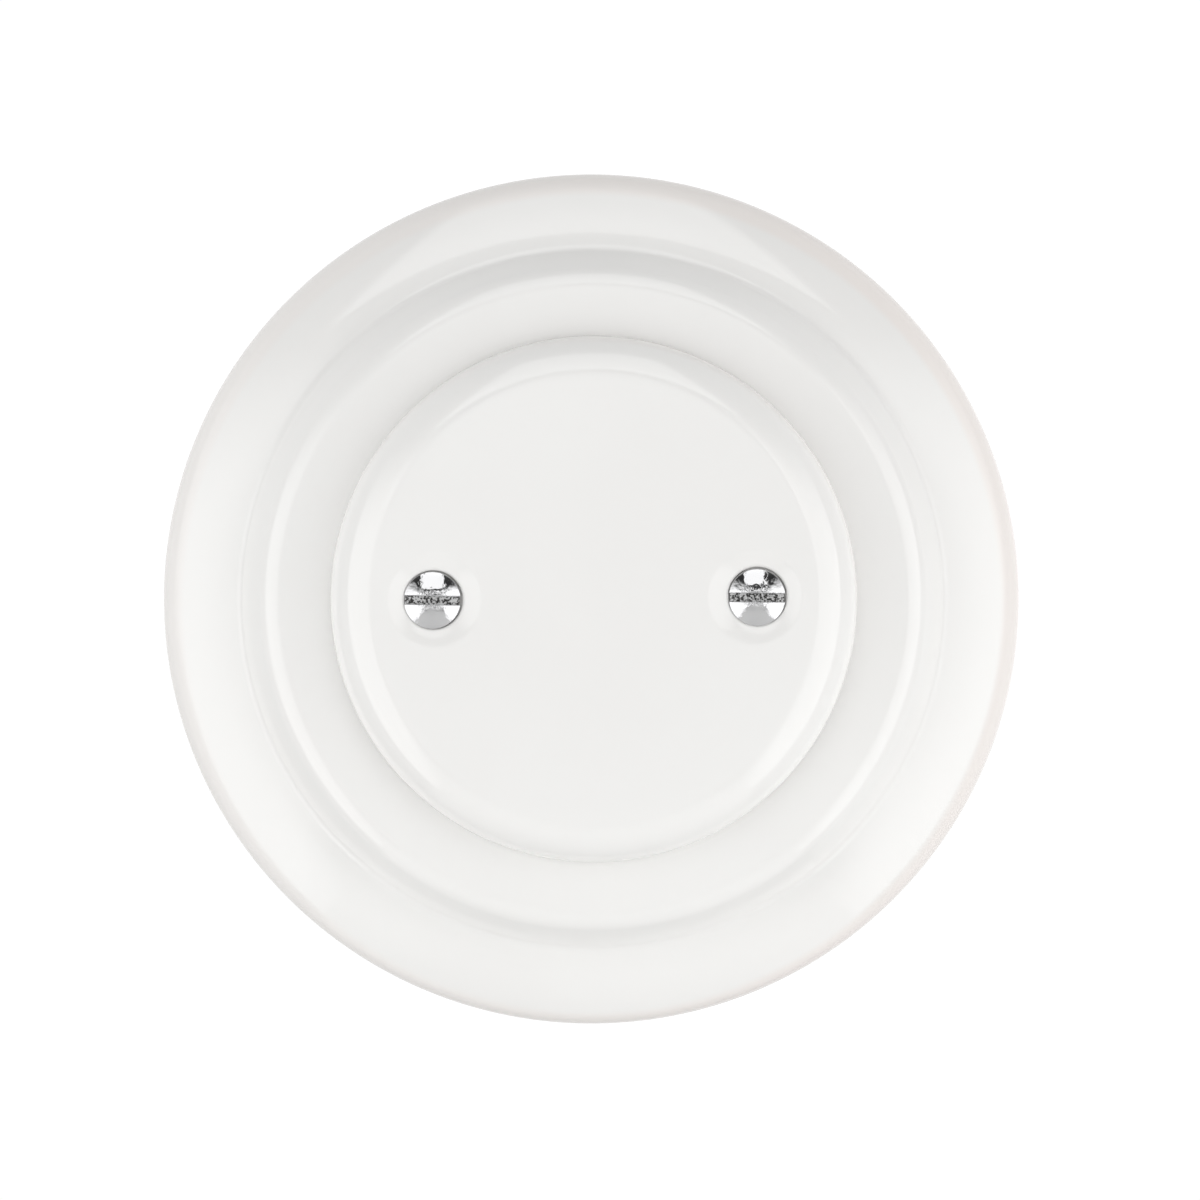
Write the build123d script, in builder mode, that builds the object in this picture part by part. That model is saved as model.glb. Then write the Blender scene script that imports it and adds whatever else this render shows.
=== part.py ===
"""Blank wall cover plate: a porcelain surround and cover disc, screwed to a steel support plate.

Millimetres. The wall is the XZ plane, the front faces -Y and +Z is up. Heights are measured off
the wall, towards the front. The two cover screws lie along X, and the box screws share that line.
"""

import os
from math import asin, cos, degrees, radians, sin

from build123d import *

# Surround ring
surround_diameter = 100.0
surround_wall = 4.5
flange_height = 8.7
flange_slope = 9.0
cone_share = 0.187
crown_slope = 36.0
rim_radius = 3.3
foot_width = 4.5
foot_edge_radius = 0.8
step_diameter = 77.6
step_height = 4.8
step_slope = 57.0
cove_radius = 1.3
shelf_edge_radius = 2.9
hollow_radius = 1.5

# Cover disc
disc_diameter = 61.0
disc_brow_radius = 10.0
disc_brow_slope = 6.0
disc_edge_radius = 4.9
disc_side_height = 1.27
disc_base_edge_radius = 0.2
disc_wall = 4.5
disc_overlap = 3.5
spigot_clearance = 0.4
spigot_depth = 3.0
spigot_wall = 4.0
boss_diameter = 11.0

# Screw recesses in the cover disc
dish_diameter = 10.8
dish_depth = 0.55
dish_radius = 9.0
head_clearance = 0.15
hole_clearance = 0.35

# Cover screws
screw_spacing = 37.5
screw_diameter = 3.5
screw_length = 25.0
tip_chamfer = 0.6
head_diameter = 6.6
head_land = 0.25
head_dome = 0.9
slot_width = 1.1
slot_depth = 1.3
slot_turns = (-1.5, -1.0)

# Support plate
box_screw_spacing = 60.0
box_slot_width = 3.6
box_slot_length = 7.0
plate_thickness = 1.5
plate_margin = 2.0
plate_opening_diameter = 26.0
collar_wall = 1.1
collar_length = 2.5
collar_root_radius = 0.6
thread_clearance = 0.05

# How far a cutting tool runs out past the piece it cuts
cut_overrun = 1.0

# Radii that follow from the sizes above
surround_radius = surround_diameter / 2
foot_inner_radius = surround_radius - foot_width
step_radius = step_diameter / 2
shelf_radius = step_radius - shelf_edge_radius * sin(radians(step_slope))
shelf_edge_drop = shelf_edge_radius * (1 - cos(radians(step_slope)))
cove_rise = cove_radius * (cos(radians(flange_slope)) - cos(radians(step_slope)))
step_side_length = (step_height - shelf_edge_drop - cove_rise) / sin(radians(step_slope))
step_foot_radius = step_radius + step_side_length * cos(radians(step_slope))
step_hollow_radius = step_foot_radius - surround_wall / sin(radians(step_slope))
cove_end_radius = step_foot_radius + cove_radius * (sin(radians(step_slope)) - sin(radians(flange_slope)))
crown_end_radius = surround_radius - rim_radius * (1 - sin(radians(crown_slope)))
crown_start_radius = cove_end_radius + cone_share * (crown_end_radius - cove_end_radius)
crown_rise = sin(radians(crown_slope)) - sin(radians(flange_slope))
crown_radius = (crown_end_radius - crown_start_radius) / crown_rise
cone_length = (crown_start_radius - cove_end_radius) / cos(radians(flange_slope))
disc_radius = disc_diameter / 2
brow_width = disc_brow_radius * sin(radians(disc_brow_slope))
edge_width = disc_edge_radius * (1 - sin(radians(disc_brow_slope)))
face_radius = disc_radius - edge_width - brow_width
opening_radius = disc_radius - disc_overlap
spigot_radius = opening_radius - spigot_clearance
hollow_inner_radius = spigot_radius - spigot_wall
screw_radius = screw_diameter / 2
head_radius = head_diameter / 2
dome_radius = (head_radius**2 + head_dome**2) / (2 * head_dome)
dish_mouth_radius = dish_diameter / 2
dish_floor_radius = head_radius + head_clearance
hole_radius = screw_radius + hole_clearance
plate_radius = box_screw_spacing / 2 + box_slot_length / 2 + plate_margin
tapped_radius = screw_radius + thread_clearance
collar_radius = tapped_radius + collar_wall

# Heights off the wall that follow from the sizes above; the screw cones have 45 degree sides
shelf_height = flange_height + step_height
brow_drop = disc_brow_radius * (1 - cos(radians(disc_brow_slope)))
edge_drop = disc_edge_radius * cos(radians(disc_brow_slope))
face_height = shelf_height + disc_side_height + edge_drop + brow_drop
spigot_height = shelf_height - spigot_depth
roof_height = face_height - disc_wall
dish_floor_height = face_height - dish_depth
cone_height = dish_floor_height - head_clearance
hole_height = cone_height - (head_radius - hole_radius)
head_height = cone_height + head_land
neck_height = cone_height - (head_radius - screw_radius)
screw_top_height = head_height + head_dome
screw_tip_height = head_height - screw_length

# Places of the cover screws and the box screws, as (X, Z)
screw_offsets = (-screw_spacing / 2, screw_spacing / 2)
screw_places = [(offset, 0) for offset in screw_offsets]
box_screw_places = [(-box_screw_spacing / 2, 0), (box_screw_spacing / 2, 0)]
box_screw_places_upright = [(0, -box_screw_spacing / 2), (0, box_screw_spacing / 2)]


def section(offset=0.0):
    """Section through the axis at X = offset: local x is the radius, local y the height."""
    return Plane(origin=(offset, 0, 0), x_dir=(1, 0, 0), z_dir=(0, 0, -1))


def front_plane(height=0.0):
    """Plane parallel to the wall and facing the front: local x is +X, local y is +Z."""
    return Plane.XZ.offset(height)


def falling(slope):
    """Direction in a section that runs outwards and falls by slope degrees."""
    return (cos(radians(slope)), -sin(radians(slope)))


def screw_axis(offset):
    """Axis of the cover screw at X = offset."""
    return Axis((offset, 0, 0), (0, 1, 0))


# Surround ring: shelf, sloping step, cove, conical flange that turns down to the rim, hollow back
with BuildPart() as surround_ring:
    with BuildSketch(section()):
        with BuildLine():
            shelf = Line((opening_radius, shelf_height), (shelf_radius, shelf_height))
            shelf_edge = JernArc(shelf @ 1, (1, 0), shelf_edge_radius, -step_slope)
            step_side = PolarLine(shelf_edge @ 1, step_side_length, direction=falling(step_slope))
            cove = JernArc(step_side @ 1, falling(step_slope), cove_radius, step_slope - flange_slope)
            cone = PolarLine(cove @ 1, cone_length, direction=falling(flange_slope))
            crown = JernArc(cone @ 1, falling(flange_slope), crown_radius, flange_slope - crown_slope)
            rim = JernArc(crown @ 1, falling(crown_slope), rim_radius, crown_slope - 90)
            skirt = Line(rim @ 1, (surround_radius, foot_edge_radius))
            foot_edge = JernArc(skirt @ 1, (0, -1), foot_edge_radius, -90)
            FilletPolyline(
                (surround_radius - foot_edge_radius, 0),
                (foot_inner_radius, 0),
                (foot_inner_radius, flange_height - surround_wall),
                (step_hollow_radius, flange_height - surround_wall),
                (step_hollow_radius, shelf_height - surround_wall),
                (opening_radius, shelf_height - surround_wall),
                (opening_radius, shelf_height),
                radius=(foot_edge_radius, hollow_radius, hollow_radius, hollow_radius, foot_edge_radius),
            )
        make_face()
    revolve(axis=Axis.Y)
surround_ring.part.label = "surround_ring"

# Cover disc: rounded edge, spigot that centres it in the surround, a boss behind each screw
with BuildPart() as cover_disc:
    with BuildSketch(section()):
        with BuildLine():
            face = Line((0, face_height), (face_radius, face_height))
            brow = JernArc(face @ 1, (1, 0), disc_brow_radius, -disc_brow_slope)
            disc_edge = JernArc(brow @ 1, falling(disc_brow_slope), disc_edge_radius, disc_brow_slope - 90)
            FilletPolyline(
                (disc_radius, shelf_height + disc_side_height),
                (disc_radius, shelf_height),
                (spigot_radius, shelf_height),
                (spigot_radius, spigot_height),
                (hollow_inner_radius, spigot_height),
                (hollow_inner_radius, roof_height),
                (0, roof_height),
                radius=(disc_base_edge_radius, 0, disc_base_edge_radius, disc_base_edge_radius, hollow_radius),
            )
            Line((0, roof_height), (0, face_height))
        make_face()
    revolve(axis=Axis.Y)
    with BuildSketch(front_plane(spigot_height)):
        with Locations(*screw_places):
            Circle(boss_diameter / 2)
        Circle(spigot_radius - spigot_wall / 2, mode=Mode.INTERSECT)
    extrude(amount=spigot_depth + face_height - disc_wall / 2 - shelf_height)
    for offset in screw_offsets:
        with BuildSketch(section(offset)):
            with BuildLine():
                RadiusArc((dish_floor_radius, dish_floor_height), (dish_mouth_radius, face_height), dish_radius)
                Polyline(
                    (dish_floor_radius, dish_floor_height),
                    (hole_radius, hole_height),
                    (hole_radius, spigot_height - cut_overrun),
                    (0, spigot_height - cut_overrun),
                    (0, face_height + cut_overrun),
                    (dish_mouth_radius, face_height + cut_overrun),
                    (dish_mouth_radius, face_height),
                )
            make_face()
        revolve(axis=screw_axis(offset), mode=Mode.SUBTRACT)
cover_disc.part.label = "cover_disc"

# Cover screws: slotted raised countersunk heads on plain shanks, one on each side
with BuildPart() as cover_screws:
    for offset, slot_turn in zip(screw_offsets, slot_turns):
        with BuildSketch(section(offset)):
            with BuildLine():
                dome_angle = degrees(asin(head_radius / dome_radius))
                JernArc((0, screw_top_height), (1, 0), dome_radius, -dome_angle)
                Polyline(
                    (head_radius, head_height),
                    (head_radius, cone_height),
                    (screw_radius, neck_height),
                    (screw_radius, screw_tip_height + tip_chamfer),
                    (screw_radius - tip_chamfer, screw_tip_height),
                    (0, screw_tip_height),
                    (0, screw_top_height),
                )
            make_face()
        revolve(axis=screw_axis(offset))
        with BuildSketch(front_plane(screw_top_height)):
            with Locations((offset, 0)):
                Rectangle(head_diameter + cut_overrun, slot_width, rotation=slot_turn)
        extrude(amount=-slot_depth, mode=Mode.SUBTRACT)
cover_screws.part.label = "cover_screws"

# Support plate: slotted for the box screws, with a tapped collar behind it for each cover screw
with BuildPart() as support_plate:
    with BuildSketch(front_plane()):
        Circle(plate_radius)
        Circle(plate_opening_diameter / 2, mode=Mode.SUBTRACT)
        with Locations(*box_screw_places):
            SlotOverall(box_slot_length, box_slot_width, mode=Mode.SUBTRACT)
        with Locations(*box_screw_places_upright):
            SlotOverall(box_slot_length, box_slot_width, rotation=90, mode=Mode.SUBTRACT)
    extrude(amount=plate_thickness)
    with BuildSketch(front_plane()):
        with Locations(*screw_places):
            Circle(collar_radius)
    extrude(amount=-collar_length)
    with BuildSketch(front_plane(plate_thickness)):
        with Locations(*screw_places):
            Circle(tapped_radius)
    extrude(amount=-(plate_thickness + collar_length), mode=Mode.SUBTRACT)
    collar_roots = edges().filter_by(GeomType.CIRCLE).filter_by(
        lambda edge: abs(edge.radius - collar_radius) < thread_clearance and abs(edge.center().Y) < thread_clearance
    )
    fillet(collar_roots, collar_root_radius)
support_plate.part.label = "support_plate"

os.makedirs("parts", exist_ok=True)
export_step(surround_ring.part, "parts/surround_ring.step")
export_step(cover_disc.part, "parts/cover_disc.step")
export_step(cover_screws.part, "parts/cover_screws.step")
export_step(support_plate.part, "parts/support_plate.step")
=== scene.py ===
"""Looks of a round porcelain blank cover plate: fine meshes, glaze, plating, soft light and camera.

The pieces and the camera are sized in millimetres of the part's own frame, and become metres where a
mesh or the camera is made. Lamps, floor and the relief of the finishes are in metres. A height is a
distance off the wall plane, towards the front, so it runs along -Y.
"""

import logging
import math
from dataclasses import dataclass
from enum import Enum
from typing import ClassVar, Iterable, Sequence

import bmesh
import bpy
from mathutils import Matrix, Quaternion, Vector


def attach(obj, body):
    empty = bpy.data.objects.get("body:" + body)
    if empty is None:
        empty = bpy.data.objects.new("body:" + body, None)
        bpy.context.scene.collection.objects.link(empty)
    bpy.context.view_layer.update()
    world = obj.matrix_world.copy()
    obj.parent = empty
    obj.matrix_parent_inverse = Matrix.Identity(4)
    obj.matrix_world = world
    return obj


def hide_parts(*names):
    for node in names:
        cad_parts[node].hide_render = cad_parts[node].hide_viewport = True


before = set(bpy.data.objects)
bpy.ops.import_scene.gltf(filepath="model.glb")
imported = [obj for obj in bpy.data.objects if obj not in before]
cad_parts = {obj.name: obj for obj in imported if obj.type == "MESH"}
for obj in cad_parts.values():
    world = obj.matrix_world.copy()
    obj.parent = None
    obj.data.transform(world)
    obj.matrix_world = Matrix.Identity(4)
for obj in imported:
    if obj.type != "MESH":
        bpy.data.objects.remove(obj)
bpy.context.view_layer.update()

LOG = logging.getLogger("cover_plate")

MM = 0.001
BODY = "root"
SHELF_HEIGHT = 13.5
SCREW_OFFSET = 18.75

Point = tuple[float, float]
Band = tuple[float, float]
Place = tuple[float, float, float]
Ring = tuple[float, float, float]
Colour = tuple[float, float, float]
Loop = list[bmesh.types.BMVert]
Socket = bpy.types.NodeSocket


class Side(Enum):
    """The side of the plate that a cover screw or a lamp is on, as the sign of its X."""

    LEFT = -1
    RIGHT = 1


def circle(radius: float, count: int, centre: Point = (0.0, 0.0)) -> list[Point]:
    """Points of a circle in the wall plane.

    Args:
        radius: Radius of the circle.
        count: Number of points.
        centre: Centre, as (x, z).

    Returns:
        The points, as (x, z), from +X towards +Z.
    """
    angles = (math.tau * index / count for index in range(count))
    return [(centre[0] + radius * math.cos(a), centre[1] + radius * math.sin(a)) for a in angles]


def put(name: str, data: bpy.types.ID) -> bpy.types.Object:
    """Puts a mesh, lamp or camera in the scene.

    Args:
        name: Name of the object.
        data: What the object shows.

    Returns:
        The new object.
    """
    thing = bpy.data.objects.new(name, data)
    bpy.context.scene.collection.objects.link(thing)
    return thing


class Section:
    """A section through an axis of turning, drawn as straight runs and turns of (radius, height)."""

    ARC_STEP = 4.0
    LEAST_STEPS = 3
    SUPPORT = 0.06
    LEAST_RUN = 3 * SUPPORT

    def __init__(self, radius: float, height: float, heading: float) -> None:
        """Starts the section.

        Args:
            radius: Radius of the first point.
            height: Height of the first point.
            heading: Direction of travel in degrees, 0 outwards and 90 towards the front.
        """
        self.points: list[Point] = [(radius, height)]
        self.heading = heading

    def line(self, radius: float, height: float) -> "Section":
        """Runs straight to a point, with a support point near each end to keep the run flat.

        Args:
            radius: Radius of the end point.
            height: Height of the end point.

        Returns:
            The section itself.
        """
        start = self.points[-1]
        run, rise = radius - start[0], height - start[1]
        length = math.dist(start, (radius, height))
        if length > self.LEAST_RUN:
            for way in (self.SUPPORT / length, 1 - self.SUPPORT / length):
                self.points.append((start[0] + run * way, start[1] + rise * way))
        self.points.append((radius, height))
        self.heading = math.degrees(math.atan2(rise, run))
        return self

    def turn(self, radius: float, degrees: float) -> "Section":
        """Turns along an arc that leaves the last point in the present heading.

        Args:
            radius: Radius of the arc.
            degrees: Angle to turn by, positive to the left.

        Returns:
            The section itself.
        """
        side = math.copysign(90.0, degrees)
        to_centre = math.radians(self.heading + side)
        centre_r = self.points[-1][0] + radius * math.cos(to_centre)
        centre_h = self.points[-1][1] + radius * math.sin(to_centre)
        steps = max(self.LEAST_STEPS, math.ceil(abs(degrees) / self.ARC_STEP))
        for step in range(1, steps + 1):
            angle = math.radians(self.heading - side + degrees * step / steps)
            out, up = radius * math.cos(angle), radius * math.sin(angle)
            self.points.append((centre_r + out, centre_h + up))
        self.heading += degrees
        return self


class Shell:
    """A mesh being built from rows of vertices that lie parallel to the wall."""

    def __init__(self) -> None:
        """Starts an empty mesh."""
        self.mesh = bmesh.new()

    def vertex(self, x: float, height: float, z: float) -> bmesh.types.BMVert:
        """Adds one vertex at (x, height, z)."""
        return self.mesh.verts.new((x * MM, -height * MM, z * MM))

    def loop(self, points: Iterable[Point], height: float) -> Loop:
        """Adds a loop of (x, z) points at one height."""
        return [self.vertex(x, height, z) for x, z in points]

    def bridge(self, first: Loop, second: Loop, closed: bool = True) -> None:
        """Joins two rows of as many vertices with a band of quads.

        Args:
            first: The first row.
            second: The second row.
            closed: Whether the rows are loops and not open runs.
        """
        for index in range(len(first) if closed else len(first) - 1):
            after = (index + 1) % len(first)
            self.mesh.faces.new((first[index], first[after], second[after], second[index]))

    def loft(self, rows: Sequence[Loop], closed: bool = True) -> None:
        """Bridges each row to the next."""
        for first, second in zip(rows, rows[1:]):
            self.bridge(first, second, closed)

    def turned(self, section: Sequence[Point], count: int, centre: Point = (0.0, 0.0)) -> list[Loop]:
        """Turns a section about an axis that stands on the wall.

        Args:
            section: Points of the section, as (radius, height).
            count: Number of points round the axis.
            centre: The axis, as (x, z).

        Returns:
            One loop for each point of the section.
        """
        loops = [self.loop(circle(radius, count, centre), height) for radius, height in section]
        self.loft(loops)
        return loops

    def fill(self, *loops: Loop) -> None:
        """Fills a flat region.

        Args:
            *loops: The loop that bounds the region, and those of its openings.
        """
        edges = []
        for loop in loops:
            for pair in zip(loop, loop[1:] + loop[:1]):
                edges.append(self.mesh.edges.get(pair) or self.mesh.edges.new(pair))
        bmesh.ops.triangle_fill(self.mesh, use_beauty=True, use_dissolve=False, edges=edges)

    def finish(self, name: str, sharp: float = 35.0) -> bpy.types.Object:
        """Closes the work and makes the object.

        Args:
            name: Name of the object and its mesh.
            sharp: Angle in degrees above which an edge shows as a crease.

        Returns:
            The new object, in the scene.
        """
        bmesh.ops.recalc_face_normals(self.mesh, faces=self.mesh.faces[:])
        open_edges = sum(1 for edge in self.mesh.edges if len(edge.link_faces) != 2)
        data = bpy.data.meshes.new(name)
        self.mesh.to_mesh(data)
        self.mesh.free()
        data.shade_smooth()
        data.set_sharp_from_angle(angle=math.radians(sharp))
        piece = put(name, data)
        LOG.info("%s: %d faces, %d open edges", name, len(data.polygons), open_edges)
        return piece


class Canvas:
    """Adds and wires the nodes of one shader tree."""

    def __init__(self, tree: bpy.types.NodeTree) -> None:
        """Takes the tree to draw in."""
        self.tree = tree

    @classmethod
    def of(cls, owner: bpy.types.Material | bpy.types.Light | bpy.types.World) -> "Canvas":
        """Starts the shader tree of a material, lamp or world.

        Args:
            owner: The material, lamp or world.

        Returns:
            A canvas with its empty tree.
        """
        owner.use_nodes = True
        owner.node_tree.nodes.clear()
        return cls(owner.node_tree)

    def add(self, kind: str, settings: dict | None = None, **values: object) -> bpy.types.Node:
        """Adds a node.

        Args:
            kind: Blender's name of the node type, without its ShaderNode prefix.
            settings: Properties of the node itself.
            **values: Values of its inputs, with _ for a space in the input's name.

        Returns:
            The new node.
        """
        node = self.tree.nodes.new(kind if kind.startswith("NodeGroup") else "ShaderNode" + kind)
        for key, value in (settings or {}).items():
            setattr(node, key, value)
        for key, value in values.items():
            node.inputs[key.replace("_", " ")].default_value = value
        return node

    def link(self, source: Socket, target: Socket) -> None:
        """Wires an output to an input."""
        self.tree.links.new(source, target)

    def feed(self, value: Socket | float | Colour, target: Socket) -> None:
        """Wires an output to an input, or sets the input's own value.

        Args:
            value: The output, number or colour.
            target: The input.
        """
        if isinstance(value, Socket):
            self.link(value, target)
        else:
            target.default_value = (*value, 1.0) if isinstance(value, tuple) else value

    def math(self, operation: str, first: Socket | float, second: Socket | float) -> Socket:
        """Adds a sum, product or the like of two values.

        Args:
            operation: Blender's name of the operation.
            first: First value or socket.
            second: Second value or socket.

        Returns:
            The result's socket.
        """
        node = self.add("Math", {"operation": operation})
        self.feed(first, node.inputs[0])
        self.feed(second, node.inputs[1])
        return node.outputs[0]

    def ramp(self, value: Socket, band: Band, result: Band = (0.0, 1.0)) -> Socket:
        """Maps a value smoothly from one range to another, clamped at its ends.

        Args:
            value: The value's socket.
            band: The range that the value is taken from.
            result: The range that it is mapped to.

        Returns:
            The result's socket.
        """
        node = self.add("MapRange", {"interpolation_type": "SMOOTHSTEP"})
        for name, number in zip(("From Min", "From Max", "To Min", "To Max"), band + result):
            node.inputs[name].default_value = number
        self.link(value, node.inputs["Value"])
        return node.outputs["Result"]

    def mix(self, share: Socket, first: Socket | Colour, second: Socket | Colour) -> Socket:
        """Mixes two colours.

        Args:
            share: Share of the second colour.
            first: First colour.
            second: Second colour.

        Returns:
            The mixed colour's socket.
        """
        node = self.add("Mix", {"data_type": "RGBA"})
        self.link(share, node.inputs["Factor"])
        colours = [socket for socket in node.inputs if socket.type == "RGBA"]
        for value, socket in zip((first, second), colours):
            self.feed(value, socket)
        return next(socket for socket in node.outputs if socket.type == "RGBA")

    def place(self) -> Socket:
        """Gives the place in the object's own coordinates, from one node for the tree."""
        found = (node for node in self.tree.nodes if node.type == "TEX_COORD")
        return (next(found, None) or self.add("TexCoord")).outputs["Object"]

    def noise(self, **values: float) -> bpy.types.Node:
        """Adds a noise in the object's own coordinates.

        Args:
            **values: Values of the noise's inputs.

        Returns:
            The noise's node.
        """
        node = self.add("TexNoise", **values)
        self.link(self.place(), node.inputs["Vector"])
        return node

    def group(self, tree: bpy.types.NodeTree, **values: float) -> Socket:
        """Adds a node group with values of its inputs, and gives its first output."""
        return self.add("Group", {"node_tree": tree}, **values).outputs[0]

    def relief(self, height: Socket, depth: float, shader: bpy.types.Node) -> None:
        """Wires a relief into a shader's normal.

        Args:
            height: The relief's height.
            depth: Depth of a height of one, in metres.
            shader: The material's shader.
        """
        bump = self.add("Bump", Strength=1.0, Distance=depth)
        self.link(height, bump.inputs["Height"])
        self.link(bump.outputs["Normal"], shader.inputs["Normal"])


class NodeGroups:
    """Shader node groups that more than one finish uses, each built once."""

    WOBBLE_DETAIL = 1.5
    WOBBLE_ROUGHNESS = 0.45
    SCRATCH_DETAIL = 4.0
    SCRATCH_ROUGHNESS = 0.6
    SCRATCH_BAND = (0.48, 0.72)

    def wobble(self) -> bpy.types.NodeTree:
        """Slow and fine unevenness of a surface.

        Returns:
            A group with inputs Broad Scale, Fine Scale and Fine Share, and the output Height.
        """
        tree = self._new("surface_wobble", ("Broad Scale", "Fine Scale", "Fine Share"), "Height")
        if tree.nodes:
            return tree
        canvas = Canvas(tree)
        given = canvas.add("NodeGroupInput")
        heights = []
        for name in ("Broad Scale", "Fine Scale"):
            noise = canvas.noise(Detail=self.WOBBLE_DETAIL, Roughness=self.WOBBLE_ROUGHNESS)
            canvas.link(given.outputs[name], noise.inputs["Scale"])
            heights.append(noise.outputs["Fac"])
        fine = canvas.math("MULTIPLY", heights[1], given.outputs["Fine Share"])
        height = canvas.math("ADD", heights[0], fine)
        canvas.link(height, canvas.add("NodeGroupOutput").inputs["Height"])
        return tree

    def specks(self) -> bpy.types.NodeTree:
        """Sparse small spots.

        Returns:
            A group with inputs Scale, Size and Amount, and the output Mask.
        """
        tree = self._new("sparse_specks", ("Scale", "Size", "Amount"), "Mask")
        if tree.nodes:
            return tree
        canvas = Canvas(tree)
        given = canvas.add("NodeGroupInput")
        cells = canvas.add("TexVoronoi")
        canvas.link(canvas.place(), cells.inputs["Vector"])
        canvas.link(given.outputs["Scale"], cells.inputs["Scale"])
        chance = canvas.add("SeparateColor")
        canvas.link(cells.outputs["Color"], chance.inputs[0])
        chosen = canvas.math("LESS_THAN", chance.outputs[0], given.outputs["Amount"])
        size = canvas.math("MULTIPLY", given.outputs["Size"], chance.outputs[1])
        inside = canvas.math("LESS_THAN", cells.outputs["Distance"], size)
        mask = canvas.math("MULTIPLY", chosen, inside)
        canvas.link(mask, canvas.add("NodeGroupOutput").inputs["Mask"])
        return tree

    def scratches(self) -> bpy.types.NodeTree:
        """Fine handling marks along one direction.

        Returns:
            A group with the inputs Scale and Stretch, and the output Mask.
        """
        tree = self._new("fine_scratches", ("Scale", "Stretch"), "Mask")
        if tree.nodes:
            return tree
        canvas = Canvas(tree)
        given = canvas.add("NodeGroupInput")
        parts = canvas.add("SeparateXYZ")
        canvas.link(canvas.place(), parts.inputs[0])
        drawn = canvas.add("CombineXYZ")
        along = canvas.math("MULTIPLY", parts.outputs["X"], given.outputs["Stretch"])
        for axis, part in (("X", along), ("Y", parts.outputs["Y"]), ("Z", parts.outputs["Z"])):
            canvas.link(part, drawn.inputs[axis])
        noise = canvas.add("TexNoise", Detail=self.SCRATCH_DETAIL, Roughness=self.SCRATCH_ROUGHNESS)
        canvas.link(drawn.outputs[0], noise.inputs["Vector"])
        canvas.link(given.outputs["Scale"], noise.inputs["Scale"])
        mask = canvas.ramp(noise.outputs["Fac"], self.SCRATCH_BAND)
        canvas.link(mask, canvas.add("NodeGroupOutput").inputs["Mask"])
        return tree

    @staticmethod
    def _new(name: str, inputs: Sequence[str], output: str) -> bpy.types.NodeTree:
        """Finds a group, or starts an empty one with its sockets.

        Args:
            name: Name of the group.
            inputs: Names of its inputs.
            output: Name of its output.

        Returns:
            The group's tree, without nodes if it is new.
        """
        tree = bpy.data.node_groups.get(name)
        if tree is None:
            tree = bpy.data.node_groups.new(name, "ShaderNodeTree")
            for way, names in (("INPUT", inputs), ("OUTPUT", (output,))):
                for socket in names:
                    tree.interface.new_socket(name=socket, in_out=way, socket_type="NodeSocketFloat")
        return tree


class Finish:
    """A finish that a piece is dressed in: one material with a single shader."""

    name: str

    def material(self) -> bpy.types.Material:
        """Makes the finish's material.

        Returns:
            The material.
        """
        material = bpy.data.materials.new(self.name)
        canvas = Canvas.of(material)
        shader = canvas.add("BsdfPrincipled")
        canvas.link(shader.outputs[0], canvas.add("OutputMaterial").inputs["Surface"])
        self.wire(canvas, shader)
        return material

    def wire(self, canvas: Canvas, shader: bpy.types.Node) -> None:
        """Wires the finish's nodes into its shader."""
        raise NotImplementedError


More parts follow.
